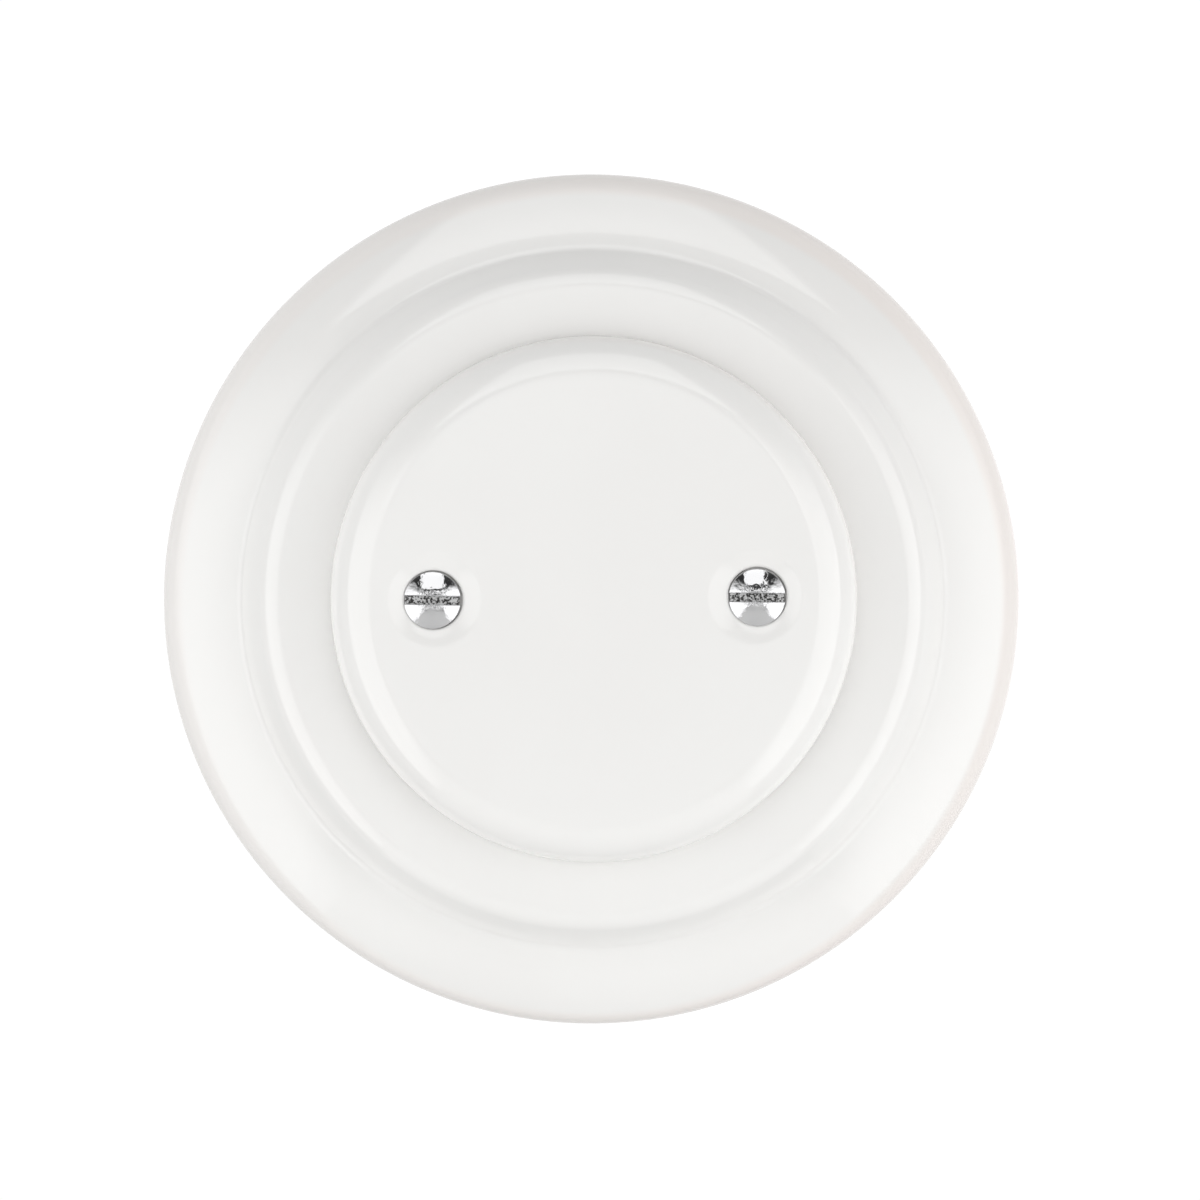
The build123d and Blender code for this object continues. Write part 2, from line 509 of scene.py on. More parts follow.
@dataclass(frozen=True)
class Porcelain(Finish):
    """White glazed porcelain with a bare foot, and a warm rim band of thin glaze with painted shade."""

    name: str
    tint_shade_from: float
    tint_shade_to: float
    foot_height: float
    foot_blend: float = 0.25
    glaze: Colour = (0.885, 0.88, 0.865)
    shade: Colour = (0.872, 0.865, 0.85)
    # Warm, darker colour of the rim band: thin-glaze tint plus painted shade
    thin_glaze_and_shade: Colour = (0.87, 0.828, 0.80)
    tint_shade_least: float = 0.4
    tint_shade_lift: float = 0.6
    bare: Colour = (0.74, 0.71, 0.66)
    speck: Colour = (0.42, 0.38, 0.34)
    speck_scale: float = 160.0
    speck_size: float = 0.03
    speck_amount: float = 0.02
    cloud_scale: float = 30.0
    cloud_detail: float = 2.0
    cloud_band: Band = (0.35, 0.65)
    glaze_ior: float = 1.6
    glaze_roughness: float = 0.07
    thin_roughness: float = 0.1
    bare_roughness: float = 0.72
    uneven: float = 0.000022
    broad_scale: float = 70.0
    fine_scale: float = 420.0
    fine_share: float = 0.06

    def wire(self, canvas: Canvas, shader: bpy.types.Node) -> None:
        """Wires glaze, a thin-glaze rim band with painted shade, bare foot, specks and unevenness into
        the shader.

        Args:
            canvas: Canvas of the material's tree.
            shader: The material's shader.
        """
        groups = NodeGroups()
        shader.inputs["IOR"].default_value = self.glaze_ior
        place = canvas.add("SeparateXYZ")
        canvas.link(canvas.place(), place.inputs[0])
        across = canvas.math("POWER", place.outputs["X"], 2.0)
        upright = canvas.math("POWER", canvas.math("ADD", place.outputs["Z"], self.tint_shade_lift * MM), 2.0)
        radius = canvas.math("SQRT", canvas.math("ADD", across, upright), 0.0)
        cloud = canvas.noise(Scale=self.cloud_scale, Detail=self.cloud_detail)
        colour = canvas.mix(canvas.ramp(cloud.outputs["Fac"], self.cloud_band), self.glaze, self.shade)
        # Painted shade: the rim band darkens as well as warms the glaze. Its lifted centre and the ramp
        # along X paint it strongest at the top and on the right.
        reach = self.tint_shade_to * MM
        thin_glaze_and_shade = canvas.ramp(radius, (self.tint_shade_from * MM, reach))
        stronger_to_right = canvas.ramp(place.outputs["X"], (-reach, reach), (self.tint_shade_least, 1.0))
        colour = canvas.mix(canvas.math("MULTIPLY", thin_glaze_and_shade, stronger_to_right), colour, self.thin_glaze_and_shade)
        specks = canvas.group(
            groups.specks(), Scale=self.speck_scale, Size=self.speck_size, Amount=self.speck_amount
        )
        colour = canvas.mix(specks, colour, self.speck)
        foot_top = (self.foot_height + self.foot_blend) * MM
        foot = canvas.ramp(place.outputs["Y"], (-foot_top, -self.foot_height * MM))
        canvas.link(canvas.mix(foot, colour, self.bare), shader.inputs["Base Color"])
        dulled = canvas.math("MULTIPLY", thin_glaze_and_shade, self.thin_roughness)
        glazed = canvas.math("ADD", dulled, self.glaze_roughness)
        bare = canvas.math("MULTIPLY", foot, self.bare_roughness)
        canvas.link(canvas.math("MAXIMUM", glazed, bare), shader.inputs["Roughness"])
        wobble = canvas.group(
            groups.wobble(),
            Broad_Scale=self.broad_scale,
            Fine_Scale=self.fine_scale,
            Fine_Share=self.fine_share,
        )
        canvas.relief(wobble, self.uneven, shader)


@dataclass(frozen=True)
class ChromePlating(Finish):
    """Bright plating with ripples, marks and pits, burred slot edges, and a dull slot floor painted dark
    with shade.
    """

    name: str
    bright: Colour = (0.74, 0.74, 0.75)
    # Slot floor colour: its dull bare finish, darkened further as painted shade down in the slot
    dull_and_shaded: Colour = (0.07, 0.068, 0.066)
    worn: Colour = (0.70, 0.70, 0.70)
    pit: Colour = (0.25, 0.25, 0.25)
    pit_scale: float = 2200.0
    pit_size: float = 0.25
    pit_amount: float = 0.10
    grain_scale: float = 4800.0
    grain_detail: float = 3.0
    grain_band: Band = (0.41, 0.54)
    bright_roughness: float = 0.07
    dull_roughness: float = 0.42
    floor_band: Band = (0.55, 1.0)
    edge_band: Band = (0.0, 0.5)
    marks: float = 0.06
    mark_scale: float = 900.0
    mark_stretch: float = 0.15
    ripple: float = 0.00007
    broad_scale: float = 800.0
    fine_scale: float = 2600.0
    fine_share: float = 0.25
    slot_uneven: float = 0.00006
    burr: float = 0.00008

    def wire(self, canvas: Canvas, shader: bpy.types.Node) -> None:
        """Wires plating, marks, pits, burrs and the dull slot floor with its painted shade into the
        shader.

        Args:
            canvas: Canvas of the material's tree.
            shader: The material's shader.
        """
        groups = NodeGroups()
        shader.inputs["Metallic"].default_value = 1.0
        slot = canvas.add("Attribute", {"attribute_name": CoverScrews.SLOT_MASK}).outputs["Fac"]
        edge = canvas.add("Attribute", {"attribute_name": CoverScrews.BURR_MASK}).outputs["Fac"]
        grain = canvas.noise(Scale=self.grain_scale, Detail=self.grain_detail)
        patch = canvas.ramp(grain.outputs["Fac"], self.grain_band)
        pits = canvas.group(
            groups.specks(), Scale=self.pit_scale, Size=self.pit_size, Amount=self.pit_amount
        )
        plated = canvas.mix(pits, self.bright, self.pit)
        # Painted shade: the slot floor is near black for the shade in the slot, mottled with worn
        # plating
        floor = canvas.mix(patch, self.dull_and_shaded, self.worn)
        colour = canvas.mix(canvas.ramp(slot, self.floor_band), plated, floor)
        canvas.link(colour, shader.inputs["Base Color"])
        scratch = canvas.group(groups.scratches(), Scale=self.mark_scale, Stretch=self.mark_stretch)
        rough = canvas.ramp(slot, self.edge_band, (self.bright_roughness, self.dull_roughness))
        marked = canvas.math("MULTIPLY", scratch, self.marks)
        canvas.link(canvas.math("ADD", marked, rough), shader.inputs["Roughness"])
        wobble = canvas.group(
            groups.wobble(),
            Broad_Scale=self.broad_scale,
            Fine_Scale=self.fine_scale,
            Fine_Share=self.fine_share,
        )
        height = canvas.math("MULTIPLY", wobble, self.ripple)
        for mask, depth in ((slot, self.slot_uneven), (edge, self.burr)):
            rise = canvas.math("MULTIPLY", canvas.math("MULTIPLY", mask, patch), depth)
            height = canvas.math("ADD", height, rise)
        canvas.relief(height, 1.0, shader)


@dataclass(frozen=True)
class PlatedSteel(Finish):
    """Stamped sheet steel with a thin grey plating, rolling lines and cloudy patches."""

    name: str
    light: Colour = (0.62, 0.63, 0.65)
    dark: Colour = (0.47, 0.48, 0.50)
    cloud_scale: float = 160.0
    cloud_detail: float = 3.0
    cloud_band: Band = (0.35, 0.65)
    cloud_share: float = 0.5
    spot_scale: float = 260.0
    spot_size: float = 0.12
    spot_amount: float = 0.05
    low_roughness: float = 0.30
    high_roughness: float = 0.46
    lines: float = 0.000012
    line_scale: float = 1500.0
    line_stretch: float = 0.05
    line_share: float = 0.5

    def wire(self, canvas: Canvas, shader: bpy.types.Node) -> None:
        """Wires plating, patches and rolling lines into the shader.

        Args:
            canvas: Canvas of the material's tree.
            shader: The material's shader.
        """
        groups = NodeGroups()
        shader.inputs["Metallic"].default_value = 1.0
        cloud = canvas.noise(Scale=self.cloud_scale, Detail=self.cloud_detail)
        patch = canvas.ramp(cloud.outputs["Fac"], self.cloud_band)
        lines = canvas.group(groups.scratches(), Scale=self.line_scale, Stretch=self.line_stretch)
        spots = canvas.group(
            groups.specks(), Scale=self.spot_scale, Size=self.spot_size, Amount=self.spot_amount
        )
        colour = canvas.mix(patch, self.light, self.dark)
        canvas.link(canvas.mix(spots, colour, self.dark), shader.inputs["Base Color"])
        worn = canvas.math("MULTIPLY", lines, self.line_share)
        mixed = canvas.math("ADD", canvas.math("MULTIPLY", patch, self.cloud_share), worn)
        rough = canvas.ramp(mixed, (0.0, 1.0), (self.low_roughness, self.high_roughness))
        canvas.link(rough, shader.inputs["Roughness"])
        canvas.relief(lines, self.lines, shader)


class Piece:
    """A fine mesh that stands for one CAD node and moves with the part."""

    node: ClassVar[str]
    slot: ClassVar[str]

    def settle(self, piece: bpy.types.Object, finish: Finish) -> None:
        """Dresses a mesh and puts it in the place of its CAD node.

        Args:
            piece: The mesh's object.
            finish: The finish it is dressed in.
        """
        piece.data.materials.append(finish.material())
        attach(piece, BODY)
        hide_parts(self.node)


@dataclass
class PorcelainSurround(Piece):
    """The surround ring: shelf, step, cove, crowned flange and rim, with a hollow at its back."""

    node: ClassVar[str] = "surround_ring"
    slot: ClassVar[str] = "surround_glaze"

    radius: float = 50.0
    opening_radius: float = 27.0
    opening_lip: float = 0.3
    step_radius: float = 38.8
    step_slope: float = 57.0
    shelf_edge: float = 2.9
    cove: float = 1.3
    flange_height: float = 8.7
    flange_slope: float = 9.0
    crown_start: float = 42.9
    crown_slope: float = 36.0
    rim: float = 3.3
    foot_edge: float = 0.8
    foot_inner_radius: float = 45.5
    flange_roof: float = 4.2
    shelf_wall_radius: float = 35.3
    shelf_roof: float = 9.0
    hollow: float = 1.5
    kiln_oval: float = 0.007
    # Band of thin-glaze tint with painted shade at the rim
    tint_shade_from: float = 47.4
    tint_shade_to: float = 48.4
    bare_height: float = 0.25
    around: int = 240

    def section(self) -> list[Point]:
        """Draws the ring's closed section, from the opening over the front and round the back.

        Returns:
            The points of the section.
        """
        steep, gentle = math.radians(self.crown_slope), math.radians(self.flange_slope)
        crown_end = self.radius - self.rim * (1 - math.sin(steep))
        crown = (crown_end - self.crown_start) / (math.sin(steep) - math.sin(gentle))
        drawn = Section(self.opening_radius, self.shelf_roof + self.foot_edge, 90)
        drawn.line(self.opening_radius, SHELF_HEIGHT - self.opening_lip).turn(self.opening_lip, -90)
        step = math.radians(self.step_slope)
        drawn.line(self.step_radius - self.shelf_edge * math.sin(step), SHELF_HEIGHT)
        drawn.turn(self.shelf_edge, -self.step_slope)
        step_foot = self.flange_height + self.cove * (math.cos(gentle) - math.cos(step))
        step_run = (drawn.points[-1][1] - step_foot) / math.tan(step)
        drawn.line(self.step_radius + step_run, step_foot)
        drawn.turn(self.cove, self.step_slope - self.flange_slope)
        cove_end, flange = drawn.points[-1]
        drawn.line(self.crown_start, flange - (self.crown_start - cove_end) * math.tan(gentle))
        drawn.turn(crown, self.flange_slope - self.crown_slope).turn(self.rim, self.crown_slope - 90)
        drawn.line(self.radius, self.foot_edge).turn(self.foot_edge, -90)
        drawn.line(self.foot_inner_radius + self.foot_edge, 0).turn(self.foot_edge, -90)
        drawn.line(self.foot_inner_radius, self.flange_roof - self.hollow).turn(self.hollow, 90)
        drawn.line(self.shelf_wall_radius + self.hollow, self.flange_roof).turn(self.hollow, -90)
        drawn.line(self.shelf_wall_radius, self.shelf_roof - self.hollow).turn(self.hollow, 90)
        drawn.line(self.opening_radius + self.foot_edge, self.shelf_roof).turn(self.foot_edge, -90)
        return drawn.points[:-1]

    def build(self) -> bpy.types.Object:
        """Turns the section into the ring, which firing has left a little oval.

        Returns:
            The ring's object.
        """
        shell = Shell()
        loops = shell.turned(self.section(), self.around)
        shell.bridge(loops[-1], loops[0])
        for vertex in shell.mesh.verts:
            vertex.co.z *= 1 - self.kiln_oval
        return shell.finish("porcelain_surround")

    def dress(self, piece: bpy.types.Object) -> None:
        """Dresses the ring in glaze, with a thin-glaze tint and painted shade at its rim, bare at its
        foot.
        """
        glaze = Porcelain("surround_glaze_fired", self.tint_shade_from, self.tint_shade_to, self.bare_height)
        self.settle(piece, glaze)


@dataclass
class CoverDisc(Piece):
    """The cover disc: rounded edge, dished screw recesses, and a spigot with two bosses behind."""

    node: ClassVar[str] = "cover_disc"
    slot: ClassVar[str] = "disc_glaze"

    radius: float = 30.5
    brow: float = 10.0
    brow_slope: float = 6.0
    edge: float = 4.9
    face_height: float = 19.7
    base_edge: float = 0.2
    spigot_radius: float = 26.6
    spigot_height: float = 10.5
    hollow_radius: float = 22.6
    hollow_corner: float = 1.5
    roof_height: float = 15.2
    boss_radius: float = 5.5
    dish_floor_radius: float = 3.78
    dish_lip: float = 3.0
    dish_lip_slope: float = 9.3
    dish_side: float = 13.0
    dish_side_slope: float = 6.7
    dish_shift: float = 0.35
    seat_edge: float = 0.6
    seat_depth: float = 0.35
    seat_slope: float = 80.0
    left_gap: Point = (0.14, 0.06)
    right_gap: Point = (0.05, 0.14)
    hole_radius: float = 2.1
    hole_height: float = 17.8
    hole_lip: float = 0.3
    flat_margin: float = 0.3
    # Band of thin-glaze tint with painted shade at the edge
    tint_shade_from: float = 30.0
    tint_shade_to: float = 31.6
    bare_height: float = 10.75
    around: int = 240
    hole_around: int = 72
    arc_points: int = 48

    def outline(self, inset: float) -> list[Point]:
        """Outline of the hollow behind the disc, which goes round the inner sides of the bosses.

        Args:
            inset: Distance in from the hollow's walls.

        Returns:
            The points of the outline, as (x, z).
        """
        wide = self.hollow_radius - inset
        boss = self.boss_radius + inset
        meet_x = (wide**2 - boss**2 + SCREW_OFFSET**2) / (2 * SCREW_OFFSET)
        meet_z = math.sqrt(wide**2 - meet_x**2)
        from_middle = math.atan2(meet_z, meet_x)
        from_boss = math.atan2(meet_z, meet_x - SCREW_OFFSET)
        half = []
        for step in range(self.arc_points):
            angle = from_middle + (math.pi - 2 * from_middle) * step / self.arc_points
            half.append((wide * math.cos(angle), wide * math.sin(angle)))
        for step in range(self.arc_points):
            angle = math.pi - from_boss + 2 * (from_boss - math.pi) * step / self.arc_points
            half.append((-SCREW_OFFSET + boss * math.cos(angle), boss * math.sin(angle)))
        return half + [(-x, -z) for x, z in half]

    def recess(self, shell: Shell, side: Side) -> tuple[Loop, Loop]:
        """Adds one screw recess, from its mouth in the face to the end of its hole in the boss.

        Args:
            shell: The disc's mesh.
            side: The side of the plate.

        Returns:
            The loop in the face and the loop in the end of the boss.
        """
        lip = math.radians(self.dish_lip_slope)
        deep = math.radians(self.dish_lip_slope + self.dish_side_slope)
        run = self.dish_lip * math.sin(lip) + self.dish_side * (math.sin(deep) - math.sin(lip))
        mouth = self.dish_floor_radius + run
        drawn = Section(mouth + self.flat_margin, self.face_height, 180)
        drawn.line(mouth, self.face_height)
        drawn.turn(self.dish_lip, self.dish_lip_slope).turn(self.dish_side, self.dish_side_slope)
        drawn.turn(self.seat_edge, self.seat_slope - math.degrees(deep))
        wall_top, wall_height = drawn.points[-1]
        seat_run = self.seat_depth / math.tan(math.radians(self.seat_slope))
        drawn.line(wall_top - seat_run, wall_height - self.seat_depth)
        drawn.line(self.hole_radius, self.hole_height)
        drawn.line(self.hole_radius, self.spigot_height + self.hole_lip)
        drawn.turn(self.hole_lip, 90)
        gap = self.left_gap if side is Side.LEFT else self.right_gap
        loops = []
        for radius, height in drawn.points:
            up = min(max((radius - self.dish_floor_radius) / run, 0), 1)
            x = side.value * (SCREW_OFFSET - self.dish_shift * up) + gap[0] * (1 - up)
            loops.append(shell.loop(circle(radius, self.hole_around, (x, gap[1] * (1 - up))), height))
        shell.loft(loops)
        return loops[0], loops[-1]

    def build(self) -> bpy.types.Object:
        """Builds the disc as one closed mesh.

        Returns:
            The disc's object.
        """
        shell = Shell()
        eased = math.sin(math.radians(self.brow_slope))
        flat = self.radius - self.edge * (1 - eased) - self.brow * eased
        drawn = Section(flat - self.flat_margin, self.face_height, 0).line(flat, self.face_height)
        drawn.turn(self.brow, -self.brow_slope).turn(self.edge, self.brow_slope - 90)
        drawn.line(self.radius, SHELF_HEIGHT + self.base_edge).turn(self.base_edge, -90)
        drawn.line(self.spigot_radius, SHELF_HEIGHT)
        drawn.line(self.spigot_radius, self.spigot_height + self.base_edge).turn(self.base_edge, -90)
        outside = shell.turned(drawn.points, self.around)
        inside = Section(self.base_edge, self.spigot_height, 180).turn(self.base_edge, -90)
        inside.line(0, self.roof_height - self.hollow_corner).turn(self.hollow_corner, 90)
        inside.line(-self.hollow_corner - self.flat_margin, self.roof_height)
        hollow = [shell.loop(self.outline(-offset), height) for offset, height in inside.points]
        shell.loft(hollow)
        recesses = [self.recess(shell, side) for side in Side]
        shell.fill(outside[0], *(mouth for mouth, _ in recesses))
        shell.fill(outside[-1], hollow[0], *(end for _, end in recesses))
        shell.fill(hollow[-1])
        return shell.finish("porcelain_disc")

    def dress(self, piece: bpy.types.Object) -> None:
        """Dresses the disc in glaze, with a thin-glaze tint and painted shade at its edge, bare at the
        end of its spigot.
        """
        glaze = Porcelain("disc_glaze_fired", self.tint_shade_from, self.tint_shade_to, self.bare_height)
        self.settle(piece, glaze)


@dataclass
class Placer:
    """Places points of one screw, given along and across its slot, in the plate."""

    shell: Shell
    offset: float
    turn: float

    def __call__(self, u: float, v: float, height: float) -> bmesh.types.BMVert:
        """Adds a vertex at u along the slot, v across it, and a height."""
        cosine, sine = math.cos(self.turn), math.sin(self.turn)
        return self.shell.vertex(self.offset + u * cosine - v * sine, height, u * sine + v * cosine)

    def turned(self, radius: float, angle: float, height: float) -> bmesh.types.BMVert:
        """Adds a vertex at a radius and angle about the screw, and a height."""
        x, z = self.offset + radius * math.cos(angle), radius * math.sin(angle)
        return self.shell.vertex(x, height, z)

    def angle(self, vertex: bmesh.types.BMVert) -> float:
        """Angle of a vertex about the screw."""
        return math.atan2(vertex.co.z, vertex.co.x - self.offset * MM)


@dataclass
class HalfHead:
    """The part of a screw's head on one side of its slot.

    foot runs along the foot of the slot's wall and ring round the outside at that level, both from one
    end of the slot to the other, and worn holds the slot's wall and rounded edge.
    """

    foot: Loop
    ring: Loop
    worn: Loop


@dataclass
class CoverScrews(Piece):
    """The two cover screws: slotted raised countersunk heads on threaded shanks."""

    SLOT_MASK: ClassVar[str] = "slot_floor"
    BURR_MASK: ClassVar[str] = "slot_burr"
    FLOOR_ROWS: ClassVar[tuple[float, ...]] = (0.5, 0.0, -0.5)
    TIP_ROWS: ClassVar[tuple[float, ...]] = (0.5, 1.0)
    # Rings of the rim, in bevels inwards and down from the dome's edge, with the slot bevel's share
    RIM_ROWS: ClassVar[tuple[Ring, ...]] = ((1.0, 0.0, 1.0), (0.25, 0.55, 0.9), (0.0, 1.6, 0.5))
    # Rings of the land, in bevels inwards and up from its foot
    LAND_ROWS: ClassVar[tuple[Point, ...]] = ((0.0, 0.5), (0.3, -0.3))

    node: ClassVar[str] = "cover_screws"
    slot: ClassVar[str] = "screw_plating"

    head_radius: float = 3.3
    dome_radius: float = 6.5
    top_height: float = 20.15
    land_foot: float = 19.0
    slot_half: float = 0.48
    slot_floor: float = 18.85
    slot_round: float = 0.12
    slot_round_steps: int = 5
    rim_bevel: float = 0.06
    left_turn: float = -1.5
    right_turn: float = -1.0
    shank_radius: float = 1.75
    neck_height: float = 17.45
    neck_support: float = 0.06
    tip_height: float = -5.75
    tip_chamfer: float = 0.6
    thread_top: float = 12.0
    thread_fade: float = 1.2
    thread_depth: float = 0.33
    thread_pitch: float = 0.6
    thread_crest: float = 0.2
    thread_flank: float = 0.6
    rings_per_pitch: int = 8
    edge_wear: float = 0.5
    burr_reach: float = 0.5
    burr_spread: float = 1.3
    crease: float = 50.0
    columns: int = 36
    rows: int = 16

    def dome(self, u: float, v: float) -> float:
        """Height of the dome at a place on the head."""
        return self.top_height - self.dome_radius + math.sqrt(self.dome_radius**2 - u**2 - v**2)

    def spread(self) -> list[float]:
        """Places of the columns along the slot, from -1 to 1."""
        return [2 * index / self.columns - 1 for index in range(self.columns + 1)]

    def levels(self) -> list[Ring]:
        """Rings from the edge of the dome down to the level of the slot's floor.

        Returns:
            The rings, as (radius, height, share of the slot bevel's drop).
        """
        bevel = self.rim_bevel
        top = self.dome(self.head_radius - bevel, 0)
        rings = []
        for inward, down, share in self.RIM_ROWS:
            rings.append((self.head_radius - bevel * inward, top - bevel * down, share))
        for inward, up in self.LAND_ROWS:
            rings.append((self.head_radius - bevel * inward, self.land_foot + bevel * up, 0.0))
        floor_radius = self.head_radius - (self.land_foot - self.slot_floor)
        return rings + [(floor_radius, self.slot_floor, 0.0)]

    def dome_rows(self, edge: float) -> list[Point]:
        """Rows of half a dome, from its slot's wall over the rounded edge and out to the side.

        Args:
            edge: Radius of the dome's edge.

        Returns:
            The rows, as (distance from the middle of the slot, drop below the dome).
        """
        bevel = self.slot_round
        first = math.asin((self.slot_half + bevel) / edge)
        rows = []
        for step in range(self.slot_round_steps):
            angle = math.pi / 2 * step / self.slot_round_steps
            rows.append((self.slot_half + bevel * (1 - math.cos(angle)), bevel * (1 - math.sin(angle))))
        for row in range(self.rows):
            rows.append((edge * math.sin(first + (math.pi / 2 - first) * row / self.rows), 0.0))
        return rows

    def half_head(self, shell: Shell, place: Placer, sign: int) -> HalfHead:
        """Adds the part of a head on one side of its slot.

        Args:
            shell: The screws' mesh.
            place: Places a point of the head in the plate.
            sign: Side of the slot, 1 or -1.

        Returns:
            The vertices that the rest of the screw needs.
        """
        levels = self.levels()
        edge, rim_height, _ = levels[0]
        rows = self.dome_rows(edge)
        spread = self.spread()
        grid = []
        for v, drop in rows:
            reach = math.sqrt(edge**2 - v**2)
            grid.append([place(u * reach, sign * v, self.dome(u * reach, v) - drop) for u in spread])
        shell.loft(grid, closed=False)
        apex = place(0.0, sign * edge, rim_height)
        for first, second in zip(grid[-1], grid[-1][1:]):
            shell.mesh.faces.new((first, second, apex))
        walls = [grid[0]]
        outers = [[row[-1] for row in grid] + [apex] + [row[0] for row in reversed(grid)]]
        low, bevel = self.slot_floor, self.slot_round
        along = math.sqrt(edge**2 - self.slot_half**2)
        tops = [self.dome(u * along, self.slot_half) - bevel for u in spread]
        for radius, height, share in levels[1:]:
            rise = (height - bevel * share - low) / (rim_height - bevel - low)
            reach = math.sqrt(radius**2 - self.slot_half**2)
            heights = [low + (top - low) * rise for top in tops]
            wall = [place(u * reach, sign * self.slot_half, h) for u, h in zip(spread, heights)]
            ring = []
            for v, drop in rows[1:]:
                across = v if drop else v * radius / edge
                ring.append((math.sqrt(radius**2 - across**2), across, height - drop * share))
            right = [place(u, sign * v, h) for u, v, h in ring]
            left = [place(-u, sign * v, h) for u, v, h in reversed(ring)]
            peak = place(0.0, sign * radius, height)
            outers.append([wall[-1]] + right + [peak] + left + [wall[0]])
            walls.append(wall)
        shell.loft(walls, closed=False)
        shell.loft(outers, closed=False)
        worn = [vertex for row in grid[:self.slot_round_steps] + walls[1:] for vertex in row]
        return HalfHead(walls[-1], outers[-1], worn)

    def screw(self, shell: Shell, side: Side) -> tuple[Loop, Loop]:
        """Adds one screw.

        Args:
            shell: The screws' mesh.
            side: The side of the plate.

        Returns:
            The vertices of the slot's floor, and those of its walls and rounded edges.
        """
        turn = math.radians(self.left_turn if side is Side.LEFT else self.right_turn)
        place = Placer(shell, side.value * SCREW_OFFSET, turn)
        upper = self.half_head(shell, place, 1)
        lower = self.half_head(shell, place, -1)
        floor_radius = self.levels()[-1][0]
        floor = [upper.foot]
        for share in self.FLOOR_ROWS:
            v = share * self.slot_half
            reach = math.sqrt(floor_radius**2 - v**2)
            floor.append([place(u * reach, v, self.slot_floor) for u in self.spread()])
        floor.append(lower.foot)
        shell.loft(floor, closed=False)
        ring = upper.ring + [row[0] for row in floor[1:-1]]
        ring += list(reversed(lower.ring)) + [row[-1] for row in reversed(floor[1:-1])]
        self.shank(shell, place, ring)
        return [vertex for row in floor for vertex in row], upper.worn + lower.worn

    def shank(self, shell: Shell, place: Placer, ring: Loop) -> None:
        """Adds a screw's cone, neck and thread below the level of its slot.

        Args:
            shell: The screws' mesh.
            place: Places a point of the screw in the plate.
            ring: The head's ring at the level of the slot's floor.
        """
        angles = [place.angle(vertex) for vertex in ring]
        loops = [ring]
        start = self.thread_top + self.thread_fade
        foot = self.tip_height + self.tip_chamfer
        heights = [self.neck_height, self.neck_height - self.neck_support, start]
        steps = round((start - foot) / self.thread_pitch * self.rings_per_pitch)
        heights += [start + (foot - start) * step / steps for step in range(1, steps + 1)]
        for height in heights:
            loops.append([place.turned(self.thread(angle, height), angle, height) for angle in angles])
        for share in self.TIP_ROWS:
            inset = self.tip_chamfer * share
            loops.append([place.turned(self.thread(a, foot) - inset, a, foot - inset) for a in angles])
        shell.loft(loops)
        shell.mesh.faces.new(loops[-1])

    def thread(self, angle: float, height: float) -> float:
        """Radius of the shank on the thread's crest, flank or root.

        Args:
            angle: Angle about the screw.
            height: Height off the wall.

        Returns:
            The radius.
        """
        turns = height / self.thread_pitch + angle / math.tau
        wave = abs(2 * (turns % 1) - 1)
        groove = min(max((wave - self.thread_crest) / self.thread_flank, 0), 1)
        fade = min(max((self.thread_top + self.thread_fade - height) / self.thread_fade, 0), 1)
        return self.shank_radius - self.thread_depth * groove * fade

    def burr(self, place: Vector) -> float:
        """Share of burr at a place on a head, most along the middle of the slot's edges.

        Args:
            place: The place, in metres.

        Returns:
            The share, from 0 to 1.
        """
        if -place.y / MM < self.land_foot:
            return 0.0
        along = (abs(place.x) / MM - SCREW_OFFSET) / self.burr_spread
        off = abs(abs(place.z) / MM - self.slot_half) / self.burr_reach
        return max(1 - off, 0) * math.exp(-along**2)

    def build(self) -> bpy.types.Object:
        """Builds both screws as one mesh of two closed shells.

        Returns:
            The screws' object.
        """
        shell = Shell()
        for name in (self.SLOT_MASK, self.BURR_MASK):
            shell.mesh.verts.layers.float.new(name)
        screws = [self.screw(shell, side) for side in Side]
        slot, burr = shell.mesh.verts.layers.float.values()
        for floor, worn in screws:
            for vertex in worn:
                vertex[slot] = self.edge_wear
            for vertex in floor:
                vertex[slot] = 1.0
        for vertex in shell.mesh.verts:
            vertex[burr] = self.burr(vertex.co)
        return shell.finish("plated_screws", self.crease)

    def dress(self, piece: bpy.types.Object) -> None:
        """Dresses the screws in bright plating."""
        self.settle(piece, ChromePlating("screw_plating_bright"))


